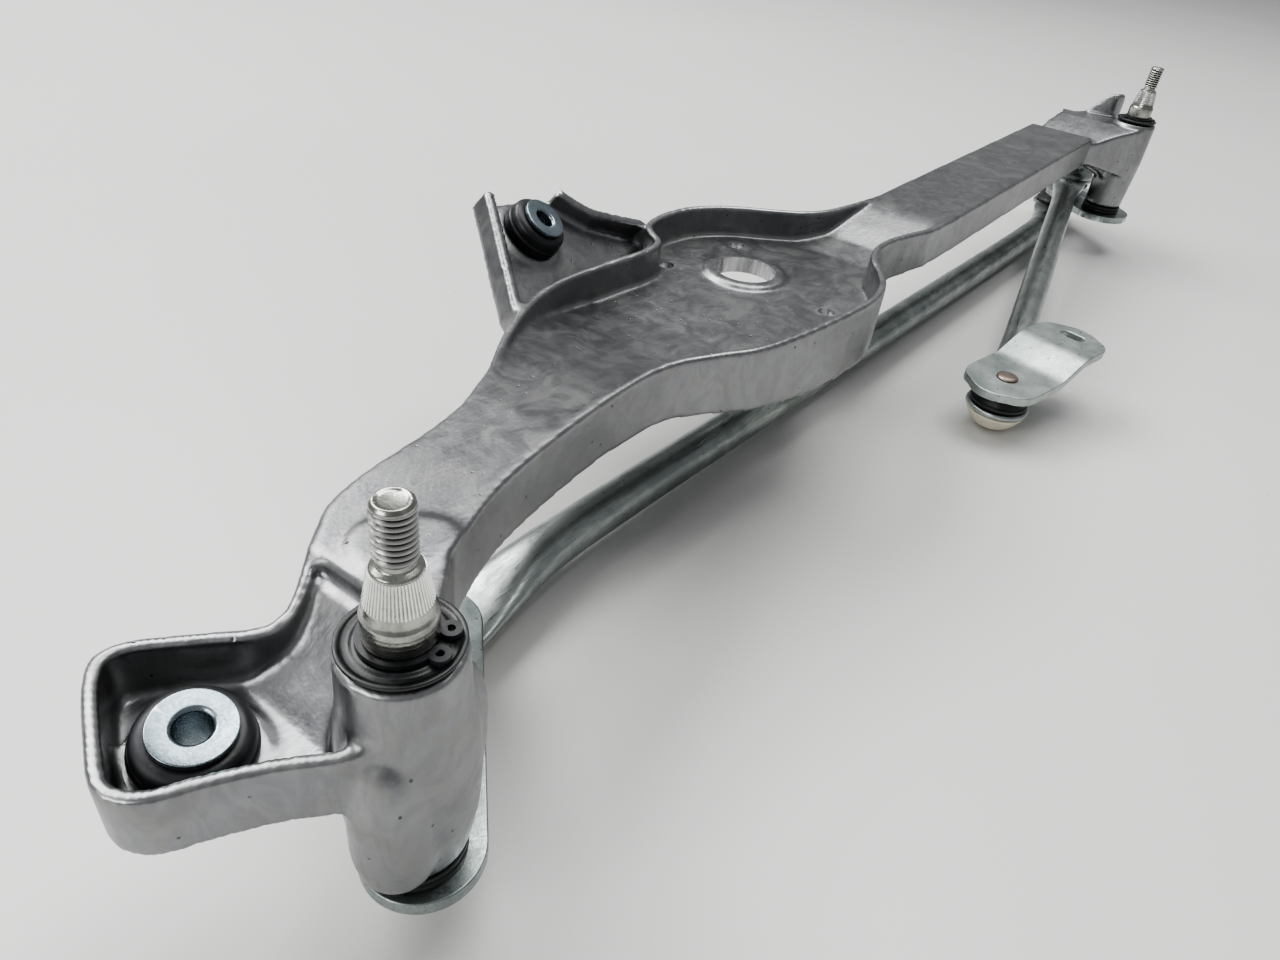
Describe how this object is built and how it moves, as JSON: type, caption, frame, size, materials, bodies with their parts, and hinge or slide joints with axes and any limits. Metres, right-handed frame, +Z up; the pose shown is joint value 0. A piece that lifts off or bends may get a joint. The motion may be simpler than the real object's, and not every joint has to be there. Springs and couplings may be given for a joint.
{
  "type": "windshield wiper linkage",
  "caption": "Cast frame with two wiper spindles, levers, connecting rods on ball joints, rubber mounts and a motor crank.",
  "frame": {"origin": "centre of the near wiper spindle's end face", "axes": "+Z up along both spindles, +X from the near spindle to the far one, +Y towards the ear on the back of the motor pan"},
  "size_m": [0.7343, 0.1946, 0.1187],
  "materials": {
    "cast_aluminium": "die-cast, as cast, with flow marks and rubbed edges",
    "zinc_plate": "zinc-plated and passivated pressed steel, slightly mottled",
    "bright_steel": "turned, threaded and knurled, bright",
    "coppery_rivet": "riveted head with a warm passivated tint",
    "black_rubber": "moulded, satin",
    "black_steel": "black coated spring steel, satin",
    "sintered_bronze": "oil-soaked sintered bronze, dull",
    "cream_acetal": "moulded acetal, satin"
  },
  "bodies": {
    "frame": {"frame": "cast_aluminium", "near_grommet": "black_rubber", "rear_grommet": "black_rubber", "far_grommet": "black_rubber", "near_sleeve": "zinc_plate", "rear_sleeve": "zinc_plate", "far_sleeve": "zinc_plate", "near_top_washer": "black_steel", "near_top_seal": "black_rubber", "near_upper_bush": "sintered_bronze", "near_lower_bush": "sintered_bronze", "near_lower_seal": "black_rubber", "far_top_washer": "black_steel", "far_top_seal": "black_rubber", "far_upper_bush": "sintered_bronze", "far_lower_bush": "sintered_bronze", "far_lower_seal": "black_rubber"},
    "near_spindle": {"near_spindle": "bright_steel", "near_circlip": "black_steel", "near_lever": "zinc_plate", "near_ball_stud": "zinc_plate"},
    "far_spindle": {"far_spindle": "bright_steel", "far_circlip": "black_steel", "far_lever": "zinc_plate", "far_ball_stud": "zinc_plate", "drive_ball_stud": "zinc_plate"},
    "long_rod": {"long_rod": "zinc_plate", "long_rod_near_cup": "cream_acetal", "long_rod_far_cup": "cream_acetal", "long_rod_near_boot": "black_rubber", "long_rod_far_boot": "black_rubber"},
    "drive_rod": {"drive_rod": "zinc_plate", "drive_rod_far_cup": "cream_acetal", "drive_rod_motor_cup": "cream_acetal", "drive_rod_far_boot": "black_rubber", "drive_rod_motor_boot": "black_rubber"},
    "motor_crank": {"motor_crank": "zinc_plate", "crank_ball_stud": "coppery_rivet"}
  },
  "joints": [
    {"name": "near_wipe", "type": "hinge", "parent": "frame", "child": "near_spindle", "pos_m": [0, 0, 0], "axis": [0, 0, 1], "range_deg": [0, 70]},
    {"name": "far_wipe", "type": "hinge", "parent": "frame", "child": "far_spindle", "pos_m": [0.6305, 0, 0], "axis": [0, 0, 1], "range_deg": [0, 87]},
    {"name": "long_rod_pivot", "type": "hinge", "parent": "near_spindle", "child": "long_rod", "pos_m": [0.048, 0.048, -0.1085], "axis": [0, 0, 1], "range_deg": [-71, 0]},
    {"name": "drive_rod_pivot", "type": "hinge", "parent": "far_spindle", "child": "drive_rod", "pos_m": [0.655, 0.03, -0.0836], "axis": [0, 0, 1], "range_deg": [-87, 0]},
    {"name": "crank_swivel", "type": "hinge", "parent": "drive_rod", "child": "motor_crank", "pos_m": [0.325, -0.031, -0.1085], "axis": [0, 0, 1], "continuous": true}
  ],
  "couplings": [
    {"joint": "far_wipe", "follows": "near_wipe", "ratio": 1.241},
    {"joint": "long_rod_pivot", "follows": "near_wipe", "ratio": -1.008},
    {"joint": "drive_rod_pivot", "follows": "near_wipe", "ratio": -1.241}
  ]
}
